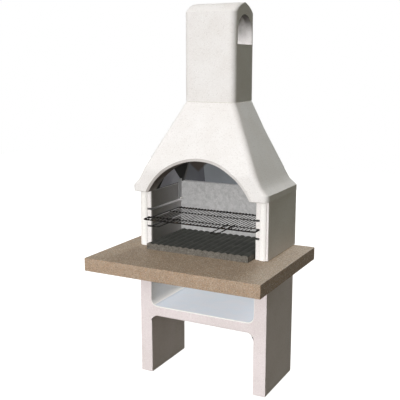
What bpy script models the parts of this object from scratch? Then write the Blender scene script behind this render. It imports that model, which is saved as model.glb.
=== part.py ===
# Outdoor masonry barbecue: a cast base with a shelf, a stone worktop, a three-sided firebox
# with a ribbed hearth, a hood with a round arch, a chimney with a barrel top, and a wire
# cooking grill that slides in grooves. Metres, +Z up, +Y towards the back. The origin is on the
# ground, under the middle of the worktop, and the object is the same on its left and right.
import math

import bmesh
import bpy
from mathutils import Matrix, Vector

# Worktop slab
WORKTOP_WIDTH = 1.000
WORKTOP_DEPTH = 0.774
WORKTOP_THICKNESS = 0.0715
WORKTOP_TOP = 0.747
WORKTOP_ARRIS = 0.004

# Base casting: two legs joined by a shelf, open at the back
BASE_WIDTH = 0.772
BASE_DEPTH = 0.388
BASE_BACK_SETBACK = 0.024
LEG_THICKNESS = 0.074
SHELF_TOP = 0.404
SHELF_THICKNESS = 0.059
SHELF_FILLET = 0.038
BASE_ARRIS = 0.005

# Mortar joints, and the clearance between touching pieces
BED_THICKNESS = 0.003
BED_RECESS = 0.004
SEAT_GAP = 0.0003

# Firebox: side walls with a crowned nose in front, back wall and lining slab
FIREBOX_WIDTH = 0.767
SIDE_WALL_THICKNESS = 0.0735
NOSE_TIP_SETBACK = 0.414
NOSE_PROJECTION = 0.011
NOSE_CROWN = 0.008
NOSE_WIDTH = 0.037
NOSE_INSET = 0.0265
OUTER_SHOULDER_STEP = 0.002
INNER_ARRIS = 0.010
OUTER_ARRIS = 0.005
CORNER_FLARE = 0.005
CORNER_FLARE_LENGTH = 0.044
LINING_SETBACK = 0.074
LINING_THICKNESS = 0.034
LINING_POCKET = 0.035
LINING_TOP = 1.070

# Grooves that the cooking grill slides in, three levels on each side
GROOVE_FIRST_HEIGHT = 0.115
GROOVE_PITCH = 0.048
GROOVE_HEIGHT = 0.011
GROOVE_MARGIN = 0.0007
GROOVE_LEVELS = 3
GRILL_LEVEL = 1

# Ribbed hearth plate
HEARTH_SIDE_CLEARANCE = 0.007
HEARTH_OVERHANG = 0.057
HEARTH_THICKNESS = 0.038
HEARTH_RIB_HEIGHT = 0.006
HEARTH_RIB_PITCH = 0.038

# Hood: straight sides from the chimney down to a crease, an upright front, a flared lip
HOOD_BOTTOM = 1.062
LIP_HALF_WIDTH = 0.398
LIP_HEIGHT = 0.038
LIP_FRONT_SETBACK = 0.459
LIP_BACK_SETBACK = 0.0105
LIP_ARRIS = 0.003
FLARE_HEIGHT = 0.035
FLARE_HALF_WIDTH = 0.362
FLARE_BACK_SETBACK = 0.028
CREASE_HEIGHT = 0.133
BACK_KNEE_HEIGHT = 0.338
HOOD_TOP = 1.5445
HOOD_CORNER_RADIUS = 0.032
HOOD_INNER_HALF_WIDTH = 0.3137
HOOD_INNER_FRONT_SETBACK = 0.374
HOOD_INNER_BACK_SETBACK = 0.0365
ARCH_RADIUS = 0.3338
ARCH_CENTRE_DROP = 0.1498
ARCH_RIM_WIDTH = 0.0145
ARCH_RIM_DEPTH = 0.004

# Chimney
CHIMNEY_HALF_WIDTH = 0.148
CHIMNEY_DEPTH = 0.2565
CHIMNEY_BACK_SETBACK = 0.066
CHIMNEY_HEIGHT = 0.511
CHIMNEY_WALL = 0.035
CHIMNEY_CORNER_RADIUS = 0.033
HOLLOW_CORNER_RADIUS = 0.012
BARREL_RADIUS = 0.190
WINDOW_HALF_WIDTH = 0.090
WINDOW_SILL = 1.8455
WINDOW_HEIGHT = 0.1525

# Sheet-steel liner inside the hood
SHEET_THICKNESS = 0.0015
SIDE_SHEET_FRONT_GAP = 0.061
SIDE_SHEET_DEPTH = 0.213
SIDE_SHEET_HEIGHT = 0.126
SIDE_SHEET_BACK_HEIGHT = 0.032
SIDE_SHEET_LEAN = 0.025
SIDE_SHEET_TOP_WIDTH = 0.035
BACK_SHEET_HEIGHT = 0.240
BACK_SHEET_CENTRE_WIDTH = 0.330
SHEET_CLEARANCE = 0.012

# Cooking grill: rod frame, two cross bars, wires on top, two loop handles
GRILL_SIDE_CLEARANCE = 0.0008
GRILL_FRONT_OVERHANG = 0.045
GRILL_BACK_CLEARANCE = 0.002
FRAME_ROD_RADIUS = 0.004
FRAME_CORNER_RADIUS = 0.014
CROSS_BAR_RADIUS = 0.0025
CROSS_BAR_SETBACKS = (0.066, 0.246)
WIRE_RADIUS = 0.00175
WIRE_PITCH = 0.020
WIRE_SIDE_MARGIN = 0.008
HANDLE_ROD_RADIUS = 0.0025
HANDLE_REACH = 0.149
HANDLE_CORNER_RADIUS = 0.010

# Overrun of every cutter past the faces that it cuts
CUT_OVERRUN = 0.020

# Places of a handle's two legs, in wire pitches from the middle: each lies between two wires
HANDLE_LEG_PLACES = (7.5, 9.5)

# Counts for round shapes
CORNER_STEPS = 5
FILLET_STEPS = 6
NOSE_STEPS = 14
ARCH_STEPS = 96
BARREL_STEPS = 4
RIB_STEPS = 6
ROD_SIDES_RESOLUTION = 2

# Edges and levels that several pieces share
BACK = WORKTOP_DEPTH / 2
FRONT = -BACK
WORKTOP_UNDERSIDE = WORKTOP_TOP - WORKTOP_THICKNESS
BED_STEP = BED_THICKNESS + 2 * SEAT_GAP
WALL_BOTTOM = WORKTOP_TOP + BED_STEP
WALL_TOP = HOOD_BOTTOM - BED_STEP
WALL_OUTER = FIREBOX_WIDTH / 2
WALL_INNER = WALL_OUTER - SIDE_WALL_THICKNESS
NOSE_TIP = BACK - NOSE_TIP_SETBACK
SHOULDER = NOSE_TIP + NOSE_PROJECTION
GROOVE_END = WALL_INNER + NOSE_INSET - GROOVE_MARGIN
LINING_FRONT = BACK - LINING_SETBACK
LINING_BACK = LINING_FRONT + LINING_THICKNESS
POCKET_HALF_WIDTH = WALL_INNER + LINING_POCKET
GROOVE_HEIGHTS = tuple(
    WORKTOP_TOP + GROOVE_FIRST_HEIGHT + GROOVE_PITCH * level for level in range(GROOVE_LEVELS)
)
HOOD_INNER_FRONT = BACK - HOOD_INNER_FRONT_SETBACK
HOOD_INNER_BACK = BACK - HOOD_INNER_BACK_SETBACK
CHIMNEY_BOTTOM = HOOD_TOP + BED_STEP
CHIMNEY_TOP = CHIMNEY_BOTTOM + CHIMNEY_HEIGHT
CHIMNEY_BACK = BACK - CHIMNEY_BACK_SETBACK
CHIMNEY_FRONT = CHIMNEY_BACK - CHIMNEY_DEPTH
CHIMNEY_MIDDLE = (CHIMNEY_FRONT + CHIMNEY_BACK) / 2
FLUE_HALF_WIDTH = CHIMNEY_HALF_WIDTH - CHIMNEY_WALL
FLUE_FRONT = CHIMNEY_FRONT + CHIMNEY_WALL
FLUE_BACK = CHIMNEY_BACK - CHIMNEY_WALL
FRAME_HEIGHT = GROOVE_HEIGHTS[GRILL_LEVEL] - GROOVE_HEIGHT / 2 + FRAME_ROD_RADIUS + SEAT_GAP
FRAME_TOP = FRAME_HEIGHT + FRAME_ROD_RADIUS
FRAME_SIDE = GROOVE_END - GRILL_SIDE_CLEARANCE - FRAME_ROD_RADIUS
FRAME_BACK = LINING_FRONT - GRILL_BACK_CLEARANCE - FRAME_ROD_RADIUS
FRAME_FRONT = NOSE_TIP - GRILL_FRONT_OVERHANG + FRAME_ROD_RADIUS


def make_collection(name):
    collection = bpy.data.collections.new(name)
    bpy.context.scene.collection.children.link(collection)
    return collection


def srgb(hex_colour):
    """Linear colour of a hex value as a screen shows it."""
    channels = [int(hex_colour[i : i + 2], 16) / 255 for i in (0, 2, 4)]
    linear = [c / 12.92 if c <= 0.04045 else ((c + 0.055) / 1.055) ** 2.4 for c in channels]
    return (*linear, 1.0)


def make_material(name, hex_colour, roughness, metallic=0.0):
    material = bpy.data.materials.new(name)
    material.use_nodes = True
    shader = material.node_tree.nodes["Principled BSDF"]
    shader.inputs["Base Color"].default_value = srgb(hex_colour)
    shader.inputs["Roughness"].default_value = roughness
    shader.inputs["Metallic"].default_value = metallic
    material.diffuse_color = srgb(hex_colour)
    return material


def add_object(name, data, material, collection, location=(0, 0, 0), rotation=(0, 0, 0)):
    obj = bpy.data.objects.new(name, data)
    obj.location = location
    obj.rotation_euler = rotation
    data.materials.append(material)
    collection.objects.link(obj)
    return obj


def add_cutter(name, data, location=(0, 0, 0), rotation=(0, 0, 0)):
    obj = bpy.data.objects.new(name, data)
    obj.location = location
    obj.rotation_euler = rotation
    obj.hide_render = True
    obj.display_type = "WIRE"
    cutters.objects.link(obj)
    return obj


def cut(obj, cutter):
    modifier = obj.modifiers.new("Cut " + cutter.name, "BOOLEAN")
    modifier.operation = "DIFFERENCE"
    modifier.object = cutter


def bevel_edges(obj, width, segments=2):
    modifier = obj.modifiers.new("Arris", "BEVEL")
    modifier.width = width
    modifier.segments = segments
    modifier.limit_method = "ANGLE"
    modifier.angle_limit = math.radians(40)


def shade_round(mesh):
    mesh.shade_smooth()
    mesh.set_sharp_from_angle(angle=math.radians(35))


def box_mesh(name, size):
    bm = bmesh.new()
    bmesh.ops.create_cube(bm, size=1.0)
    bmesh.ops.scale(bm, vec=Vector(size), verts=bm.verts)
    mesh = bpy.data.meshes.new(name)
    bm.to_mesh(mesh)
    bm.free()
    return mesh


def box_between(name, low, high, material=None):
    """A box given by its two corners: a part with a material, or a cutter without one."""
    low, high = Vector(low), Vector(high)
    mesh = box_mesh(name, high - low)
    centre = (low + high) / 2
    if material is None:
        return add_cutter(name, mesh, centre)
    return add_object(name, mesh, material, parts, centre)


def outline_curve(name, points, thickness):
    """A flat closed outline in the curve's own XY plane, filled and given a thickness along Z."""
    curve = bpy.data.curves.new(name, "CURVE")
    curve.dimensions = "2D"
    curve.fill_mode = "BOTH"
    curve.extrude = thickness / 2
    spline = curve.splines.new("POLY")
    spline.points.add(len(points) - 1)
    for target, (x, y) in zip(spline.points, points):
        target.co = (x, y, 0, 1)
    spline.use_cyclic_u = True
    return curve


def rod_curve(name, points, radius, closed=False):
    curve = bpy.data.curves.new(name, "CURVE")
    curve.dimensions = "3D"
    curve.bevel_depth = radius
    curve.bevel_resolution = ROD_SIDES_RESOLUTION
    curve.use_fill_caps = not closed
    spline = curve.splines.new("POLY")
    spline.points.add(len(points) - 1)
    for target, point in zip(spline.points, points):
        target.co = (*point, 1)
    spline.use_cyclic_u = closed
    return curve


def as_mesh(obj):
    """The same object with its curve made a mesh and the loose caps welded to the sides."""
    bpy.context.view_layer.update()
    graph = bpy.context.evaluated_depsgraph_get()
    mesh = bpy.data.meshes.new_from_object(obj.evaluated_get(graph))
    bm = bmesh.new()
    bm.from_mesh(mesh)
    bmesh.ops.remove_doubles(bm, verts=bm.verts, dist=SEAT_GAP / 10)
    bmesh.ops.recalc_face_normals(bm, faces=bm.faces)
    bm.to_mesh(mesh)
    bm.free()
    solid = bpy.data.objects.new(obj.name, mesh)
    solid.matrix_world = obj.matrix_world.copy()
    solid.hide_render = obj.hide_render
    solid.display_type = obj.display_type
    collection = obj.users_collection[0]
    name, old_curve = obj.name, obj.data
    bpy.data.objects.remove(obj)
    bpy.data.curves.remove(old_curve)
    collection.objects.link(solid)
    solid.name = name
    mesh.name = name
    return solid


def stand_upright(name, outline, front, back, material):
    """A solid whose outline, seen from the front, runs from one depth to another."""
    curve = outline_curve(name, outline, back - front)
    place, turn_up = (0, (front + back) / 2, 0), (math.pi / 2, 0, 0)
    return as_mesh(add_object(name, curve, material, parts, place, turn_up))


def arc(centre_x, centre_y, radius, start_deg, end_deg, steps):
    """Points along an arc, both ends included."""
    points = []
    for i in range(steps + 1):
        angle = math.radians(start_deg + (end_deg - start_deg) * i / steps)
        points.append((centre_x + radius * math.cos(angle), centre_y + radius * math.sin(angle)))
    return points


def rounded_rectangle(half_width, front, back, radius):
    """Plan outline of a rectangle with round corners, counter-clockwise from above."""
    corners = (
        (half_width - radius, back - radius, 0),
        (radius - half_width, back - radius, 90),
        (radius - half_width, front + radius, 180),
        (half_width - radius, front + radius, 270),
    )
    return [
        point for x, y, start in corners for point in arc(x, y, radius, start, start + 90, CORNER_STEPS)
    ]


def level_ring(height, half_width, front, back, radius):
    return [(x, y, height) for x, y in rounded_rectangle(half_width, front, back, radius)]


def add_ring(bm, points):
    verts = [bm.verts.new(point) for point in points]
    return [bm.edges.new((a, b)) for a, b in zip(verts, verts[1:] + verts[:1])]


def loft_mesh(name, rings):
    """A solid skinned over rings of points, with both ends capped."""
    bm = bmesh.new()
    edge_rings = [add_ring(bm, ring) for ring in rings]
    for below, above in zip(edge_rings, edge_rings[1:]):
        bmesh.ops.bridge_loops(bm, edges=below + above)
    for ring in (edge_rings[0], edge_rings[-1]):
        bmesh.ops.contextual_create(bm, geom=ring)
    bmesh.ops.recalc_face_normals(bm, faces=bm.faces)
    mesh = bpy.data.meshes.new(name)
    bm.to_mesh(mesh)
    bm.free()
    shade_round(mesh)
    return mesh


def make_base(material):
    """H-shaped casting: its outline is drawn from the front and runs the depth of the base."""
    half, inner = BASE_WIDTH / 2, BASE_WIDTH / 2 - LEG_THICKNESS
    top, shelf_under = WORKTOP_UNDERSIDE - BED_STEP, SHELF_TOP - SHELF_THICKNESS
    radius = SHELF_FILLET
    outline = [(-half, 0), (-inner, 0)]
    outline += arc(radius - inner, shelf_under - radius, radius, 180, 90, FILLET_STEPS)
    outline += arc(inner - radius, shelf_under - radius, radius, 90, 0, FILLET_STEPS)
    outline += [(inner, 0), (half, 0), (half, top), (inner, top)]
    outline += arc(inner - radius, SHELF_TOP + radius, radius, 0, -90, FILLET_STEPS)
    outline += arc(radius - inner, SHELF_TOP + radius, radius, -90, -180, FILLET_STEPS)
    outline += [(-inner, top), (-half, top)]
    back = BACK - BASE_BACK_SETBACK
    bevel_edges(stand_upright("base_casting", outline, back - BASE_DEPTH, back, material), BASE_ARRIS)


def make_worktop(material):
    low = (-WORKTOP_WIDTH / 2, FRONT, WORKTOP_UNDERSIDE)
    high = (WORKTOP_WIDTH / 2, BACK, WORKTOP_TOP)
    bevel_edges(box_between("worktop", low, high, material), WORKTOP_ARRIS)


def make_mortar_beds(material):
    """Thin beds, set back from the faces: legs to worktop, worktop to walls, walls to hood."""
    leg_outer = BASE_WIDTH / 2 - BED_RECESS
    leg_inner = BASE_WIDTH / 2 - LEG_THICKNESS + BED_RECESS
    base_back = BACK - BASE_BACK_SETBACK - BED_RECESS
    base_front = BACK - BASE_BACK_SETBACK - BASE_DEPTH + BED_RECESS
    leg_bed_low = WORKTOP_UNDERSIDE - SEAT_GAP - BED_THICKNESS
    wall_outer, wall_inner = WALL_OUTER - BED_RECESS, WALL_INNER + BED_RECESS
    wall_front, wall_back = SHOULDER + BED_RECESS, LINING_FRONT - BED_RECESS
    back_half = POCKET_HALF_WIDTH - BED_RECESS
    for side, name in ((-1, "left"), (1, "right")):
        spans = {
            "leg": (leg_inner, leg_outer, base_front, base_back, leg_bed_low),
            "wall": (wall_inner, wall_outer, wall_front, wall_back, WORKTOP_TOP + SEAT_GAP),
            "hood": (wall_inner, wall_outer, wall_front, wall_back, WALL_TOP + SEAT_GAP),
        }
        for where, (inner, outer, front, back, low) in spans.items():
            x_low, x_high = sorted((side * inner, side * outer))
            corners = (x_low, front, low), (x_high, back, low + BED_THICKNESS)
            box_between(f"{where}_mortar_{name}", *corners, material)
    for where, low in (("wall", WORKTOP_TOP + SEAT_GAP), ("hood", WALL_TOP + SEAT_GAP)):
        front = LINING_BACK + SEAT_GAP + BED_RECESS
        corners = (-back_half, front, low), (back_half, BACK - BED_RECESS, low + BED_THICKNESS)
        box_between(f"{where}_mortar_back", *corners, material)


def side_wall_outline():
    """Plan of the right wall: a crowned nose between two shoulders, and a pocket for the slab."""
    half_width = NOSE_WIDTH / 2
    radius = (half_width**2 + NOSE_CROWN**2) / (2 * NOSE_CROWN)
    spread = math.degrees(math.asin(half_width / radius))
    nose_inner = WALL_INNER + NOSE_INSET
    nose_outer = nose_inner + NOSE_WIDTH
    outline = [(WALL_OUTER, BACK), (POCKET_HALF_WIDTH, BACK), (POCKET_HALF_WIDTH, LINING_FRONT - SEAT_GAP)]
    outline += [(WALL_INNER - CORNER_FLARE, LINING_FRONT - SEAT_GAP)]
    outline += [(WALL_INNER, LINING_FRONT - CORNER_FLARE_LENGTH)]
    outline += arc(WALL_INNER + INNER_ARRIS, SHOULDER + INNER_ARRIS, INNER_ARRIS, 180, 270, CORNER_STEPS)
    outline += [(nose_inner, SHOULDER)]
    nose_middle = (nose_inner + half_width, NOSE_TIP + radius)
    outline += arc(*nose_middle, radius, 270 - spread, 270 + spread, NOSE_STEPS)
    outer_shoulder = SHOULDER + OUTER_SHOULDER_STEP
    outline += [(nose_outer, outer_shoulder)]
    arris_middle = (WALL_OUTER - OUTER_ARRIS, outer_shoulder + OUTER_ARRIS)
    outline += arc(*arris_middle, OUTER_ARRIS, 270, 360, CORNER_STEPS)
    return outline


def make_side_walls(material):
    """Both walls with their grooves, which are open at the nose and end at the lining slab."""
    middle = (WALL_BOTTOM + WALL_TOP) / 2
    for side, name in ((-1, "left"), (1, "right")):
        outline = [(side * x, y) for x, y in side_wall_outline()]
        curve = outline_curve(f"{name}_side_wall", outline, WALL_TOP - WALL_BOTTOM)
        wall = as_mesh(add_object(f"{name}_side_wall", curve, material, parts, (0, 0, middle)))
        shade_round(wall.data)
        for level, height in enumerate(GROOVE_HEIGHTS, start=1):
            edges = (side * (WALL_INNER - CUT_OVERRUN), side * GROOVE_END)
            low = (min(edges), NOSE_TIP - CUT_OVERRUN, height - GROOVE_HEIGHT / 2)
            high = (max(edges), LINING_FRONT + CUT_OVERRUN, height + GROOVE_HEIGHT / 2)
            cut(wall, box_between(f"{name}_groove_{level}", low, high))


def make_back(wall_material, lining_material):
    """Back wall between the side walls, and in front of it a slab that reaches into the hood."""
    half = POCKET_HALF_WIDTH - SEAT_GAP
    low, high = (-half, LINING_BACK + SEAT_GAP, WALL_BOTTOM), (half, BACK, WALL_TOP)
    box_between("back_wall", low, high, wall_material)
    tongue = WALL_INNER - SHEET_CLEARANCE
    bottom = WORKTOP_TOP + SEAT_GAP
    outline = [(-half, bottom), (half, bottom), (half, WALL_TOP), (tongue, WALL_TOP)]
    outline += [(tongue, LINING_TOP), (-tongue, LINING_TOP), (-tongue, WALL_TOP), (-half, WALL_TOP)]
    stand_upright("back_lining_slab", outline, LINING_FRONT, LINING_BACK, lining_material)


def make_hearth(material):
    """Plate with round ribs that run from front to back; it stands a little proud of the walls."""
    half = WALL_INNER - HEARTH_SIDE_CLEARANCE
    count = round(2 * half / HEARTH_RIB_PITCH)
    bottom = WORKTOP_TOP + SEAT_GAP
    outline = [(-half, bottom), (half, bottom)]
    for i in range(count * RIB_STEPS + 1):
        turn = i / RIB_STEPS
        rise = HEARTH_RIB_HEIGHT * abs(math.sin(math.pi * turn))
        top = WORKTOP_TOP + HEARTH_THICKNESS - HEARTH_RIB_HEIGHT + rise
        outline.append((half - 2 * half * turn / count, top))
    stand_upright("hearth_plate", outline, NOSE_TIP - HEARTH_OVERHANG, LINING_FRONT - SEAT_GAP, material)


def hood_front(height):
    """Depth of the hood's front face: upright up to the crease, then it leans back."""
    front, crease = BACK - LIP_FRONT_SETBACK, HOOD_BOTTOM + CREASE_HEIGHT
    return front + (CHIMNEY_FRONT - front) * max(0, height - crease) / (HOOD_TOP - crease)


def hood_outer_rings():
    """Stations of the outside: an upright lip, a flare, then slopes up to the chimney."""
    front, back = BACK - LIP_FRONT_SETBACK, BACK - LIP_BACK_SETBACK
    flare_back = BACK - FLARE_BACK_SETBACK
    flare = HOOD_BOTTOM + LIP_HEIGHT + FLARE_HEIGHT
    crease, knee = HOOD_BOTTOM + CREASE_HEIGHT, HOOD_BOTTOM + BACK_KNEE_HEIGHT
    rise = HOOD_TOP - flare

    def half_width(height):
        return FLARE_HALF_WIDTH + (CHIMNEY_HALF_WIDTH - FLARE_HALF_WIDTH) * (height - flare) / rise

    def back_at(height):
        return flare_back + (CHIMNEY_BACK - flare_back) * min(1, (height - flare) / (knee - flare))

    stations = [
        (HOOD_BOTTOM, LIP_HALF_WIDTH - LIP_ARRIS, front + LIP_ARRIS, back - LIP_ARRIS, HOOD_CORNER_RADIUS),
        (HOOD_BOTTOM + LIP_ARRIS, LIP_HALF_WIDTH, front, back, HOOD_CORNER_RADIUS),
        (HOOD_BOTTOM + LIP_HEIGHT - LIP_ARRIS, LIP_HALF_WIDTH, front, back, HOOD_CORNER_RADIUS),
        (HOOD_BOTTOM + LIP_HEIGHT, LIP_HALF_WIDTH - LIP_ARRIS, front, back - LIP_ARRIS, HOOD_CORNER_RADIUS),
    ]
    for height in (flare, crease, knee, HOOD_TOP):
        share = (height - flare) / rise
        radius = HOOD_CORNER_RADIUS + (CHIMNEY_CORNER_RADIUS - HOOD_CORNER_RADIUS) * share
        stations.append((height, half_width(height), hood_front(height), back_at(height), radius))
    return [level_ring(*station) for station in stations]


def hood_inside(height):
    """Half width, front and back of the hood's hollow at a height."""
    share = (height - HOOD_BOTTOM) / (HOOD_TOP - HOOD_BOTTOM)
    back_share = min(1, (height - HOOD_BOTTOM) / BACK_KNEE_HEIGHT)
    half = HOOD_INNER_HALF_WIDTH + (FLUE_HALF_WIDTH - HOOD_INNER_HALF_WIDTH) * share
    front = HOOD_INNER_FRONT + (FLUE_FRONT - HOOD_INNER_FRONT) * share
    back = HOOD_INNER_BACK + (FLUE_BACK - HOOD_INNER_BACK) * back_share
    return half, front, back


def make_hood(material):
    """Hollow casting with a round arch through its front, and a slanting rim around the arch."""
    hood = add_object("hood", loft_mesh("hood", hood_outer_rings()), material, parts)
    hollow = []
    for height in (HOOD_BOTTOM - CUT_OVERRUN, HOOD_BOTTOM + BACK_KNEE_HEIGHT, HOOD_TOP + CUT_OVERRUN):
        hollow.append(level_ring(height, *hood_inside(height), HOLLOW_CORNER_RADIUS))
    cut(hood, add_cutter("hood_hollow", loft_mesh("hood_hollow", hollow)))
    middle_height = HOOD_BOTTOM - ARCH_CENTRE_DROP
    before = BACK - LIP_FRONT_SETBACK - CUT_OVERRUN
    deep = (HOOD_INNER_FRONT + HOOD_INNER_BACK) / 2
    outer = ARCH_RADIUS + 2 * ARCH_RIM_WIDTH
    slant = ARCH_RIM_DEPTH / ARCH_RIM_WIDTH

    def circle(radius):
        return arc(0, 0, radius, 0, 360, ARCH_STEPS)[:-1]

    def on_front(radius):
        depth = slant * (ARCH_RADIUS + ARCH_RIM_WIDTH - radius)
        return [(x, hood_front(middle_height + z) + depth, z) for x, z in circle(radius)]

    rings = [
        [(x, before, z) for x, z in circle(outer)],
        on_front(outer),
        on_front(ARCH_RADIUS),
        [(x, deep, z) for x, z in circle(ARCH_RADIUS)],
    ]
    cut(hood, add_cutter("hood_arch", loft_mesh("hood_arch", rings), (0, 0, middle_height)))


def barrel_rings(half_width, front, back, radius, crown, corner, start_height):
    """Stations of a shaft that ends in a barrel across its depth, up to the crown."""
    middle, reach = (front + back) / 2, (back - front) / 2
    spread = math.asin(reach / radius)
    rings = [level_ring(start_height, half_width, front, back, corner)]
    for i in range(BARREL_STEPS + 1):
        angle = spread * (1 - i / (BARREL_STEPS + 0.5))
        across = radius * math.sin(angle)
        height = crown - radius * (1 - math.cos(angle))
        rings.append(level_ring(height, half_width, middle - across, middle + across, min(corner, across)))
    return rings


def arched_outline(half_width, height):
    """Window outline: upright sides on a flat sill, and a half round on top."""
    points = [(-half_width, 0), (half_width, 0)]
    return points + arc(0, height - half_width, half_width, 0, 180, 4 * CORNER_STEPS)


def make_chimney(material):
    """Shaft with a barrel top, open below, with an arched window through each side."""
    shell = (CHIMNEY_HALF_WIDTH, CHIMNEY_FRONT, CHIMNEY_BACK, BARREL_RADIUS, CHIMNEY_TOP)
    flue_top = CHIMNEY_TOP - CHIMNEY_WALL
    flue = (FLUE_HALF_WIDTH, FLUE_FRONT, FLUE_BACK, BARREL_RADIUS - CHIMNEY_WALL, flue_top)
    outer = barrel_rings(*shell, CHIMNEY_CORNER_RADIUS, CHIMNEY_BOTTOM)
    inner = barrel_rings(*flue, HOLLOW_CORNER_RADIUS, CHIMNEY_BOTTOM - CUT_OVERRUN)
    chimney = add_object("chimney", loft_mesh("chimney", outer), material, parts)
    cut(chimney, add_cutter("chimney_flue", loft_mesh("chimney_flue", inner)))
    outline = arched_outline(WINDOW_HALF_WIDTH, WINDOW_HEIGHT)
    curve = outline_curve("chimney_windows", outline, 2 * (CHIMNEY_HALF_WIDTH + CUT_OVERRUN))
    place, turn = (0, CHIMNEY_MIDDLE, WINDOW_SILL), (math.pi / 2, 0, math.pi / 2)
    cut(chimney, as_mesh(add_cutter("chimney_windows", curve, place, turn)))


def make_chimney_mortar(material):
    """Ring of mortar between the hood and the chimney."""
    low, high = HOOD_TOP + SEAT_GAP, CHIMNEY_BOTTOM - SEAT_GAP
    front, back = CHIMNEY_FRONT + BED_RECESS, CHIMNEY_BACK - BED_RECESS
    half = CHIMNEY_HALF_WIDTH - BED_RECESS
    rings = [level_ring(height, half, front, back, CHIMNEY_CORNER_RADIUS) for height in (low, high)]
    bed = add_object("chimney_mortar", loft_mesh("chimney_mortar", rings), material, parts)
    front, back = FLUE_FRONT - BED_RECESS, FLUE_BACK + BED_RECESS
    half = FLUE_HALF_WIDTH + BED_RECESS
    hole = [
        level_ring(height, half, front, back, HOLLOW_CORNER_RADIUS)
        for height in (low - CUT_OVERRUN, high + CUT_OVERRUN)
    ]
    cut(bed, add_cutter("chimney_mortar_hole", loft_mesh("chimney_mortar_hole", hole)))


def sheet_on_slope(name, outline, origin, along, up, material):
    """Flat sheet whose outline is given along and up a slope; it lies on the side away from it."""
    along, up = Vector(along).normalized(), Vector(up).normalized()
    normal = along.cross(up)
    turn = Matrix((along, up, normal)).transposed()
    place = Vector(origin) + normal * (SHEET_THICKNESS / 2 + SEAT_GAP)
    curve = outline_curve(name, outline, SHEET_THICKNESS)
    sheet = add_object(name, curve, material, parts, place, turn.to_euler())
    return as_mesh(sheet)


def make_side_sheets(material):
    """One sheet on each side slope of the hood: both its edges lean in to a narrow top."""
    half_low, front_low, _ = hood_inside(WALL_TOP)
    half_high, _, _ = hood_inside(WALL_TOP + SIDE_SHEET_HEIGHT)
    slope_length = math.hypot(SIDE_SHEET_HEIGHT, half_low - half_high)
    slope_share = slope_length / SIDE_SHEET_HEIGHT
    bottom = SHEET_CLEARANCE / 2
    outline = [
        (0, bottom),
        (SIDE_SHEET_DEPTH, bottom),
        (SIDE_SHEET_DEPTH, SIDE_SHEET_BACK_HEIGHT * slope_share),
        (SIDE_SHEET_LEAN + SIDE_SHEET_TOP_WIDTH, slope_length),
        (SIDE_SHEET_LEAN, slope_length),
    ]
    for side, name in ((-1, "left"), (1, "right")):
        origin = (side * half_low, front_low + SIDE_SHEET_FRONT_GAP, WALL_TOP)
        up = (side * (half_high - half_low), 0, SIDE_SHEET_HEIGHT)
        along = (0, 1, 0)
        points = outline
        if side > 0:
            along = (0, -1, 0)
            points = [(-x, y) for x, y in outline]
        sheet_on_slope(f"liner_{name}", points, origin, along, up, material)


def make_back_sheets(material):
    """Three sheets side by side on the hood's back slope, above the lining slab."""
    low = LINING_TOP + SEAT_GAP
    half_low, _, back_low = hood_inside(low)
    half_high, _, back_high = hood_inside(low + BACK_SHEET_HEIGHT)
    slope_length = math.hypot(BACK_SHEET_HEIGHT, back_low - back_high)
    up = (0, back_high - back_low, BACK_SHEET_HEIGHT)
    middle = BACK_SHEET_CENTRE_WIDTH / 2
    edge_low, edge_high = half_low - SHEET_CLEARANCE, half_high - SHEET_CLEARANCE
    seam = middle + SEAT_GAP
    sheets = {
        "liner_back_left": [(-edge_low, 0), (-seam, 0), (-seam, slope_length), (-edge_high, slope_length)],
        "liner_back_middle": [(-middle, 0), (middle, 0), (middle, slope_length), (-middle, slope_length)],
        "liner_back_right": [(seam, 0), (edge_low, 0), (edge_high, slope_length), (seam, slope_length)],
    }
    for name, outline in sheets.items():
        sheet_on_slope(name, outline, (0, back_low, low), (1, 0, 0), up, material)


def make_grill(frame_material, wire_material):
    """Grill on an empty at the middle of its front rod; it slides forwards along the grooves."""
    slide = bpy.data.objects.new("grill_slide", None)
    slide.location = (0, FRAME_FRONT, FRAME_HEIGHT)
    parts.objects.link(slide)
    depth = FRAME_BACK - FRAME_FRONT

    def add_to_grill(name, curve, material, location=(0, 0, 0)):
        piece = add_object(name, curve, material, parts, location)
        piece.parent = slide
        return piece

    loop = rounded_rectangle(FRAME_SIDE, 0, depth, FRAME_CORNER_RADIUS)
    frame = rod_curve("grill_frame", [(x, y, 0) for x, y in loop], FRAME_ROD_RADIUS, closed=True)
    add_to_grill("grill_frame", frame, frame_material)
    bar_end = FRAME_SIDE - FRAME_ROD_RADIUS - SEAT_GAP
    bar_height = FRAME_ROD_RADIUS - CROSS_BAR_RADIUS
    for name, setback in zip(("front", "rear"), CROSS_BAR_SETBACKS):
        points = [(-bar_end, 0, 0), (bar_end, 0, 0)]
        curve = rod_curve(f"grill_cross_bar_{name}", points, CROSS_BAR_RADIUS)
        add_to_grill(f"grill_cross_bar_{name}", curve, frame_material, (0, setback, bar_height))
    wire_height = FRAME_ROD_RADIUS + SEAT_GAP + WIRE_RADIUS
    outermost = WALL_INNER - WIRE_SIDE_MARGIN - WIRE_RADIUS
    gaps = 2 * math.floor(outermost / WIRE_PITCH)
    wire = rod_curve("grill_wire", [(0, 0, 0), (0, depth, 0)], WIRE_RADIUS)
    for i in range(gaps + 1):
        place = ((i - gaps / 2) * WIRE_PITCH, 0, wire_height)
        add_to_grill(f"grill_wire_{i + 1:02d}", wire, wire_material, place)
    make_handles(add_to_grill, frame_material)


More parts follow.
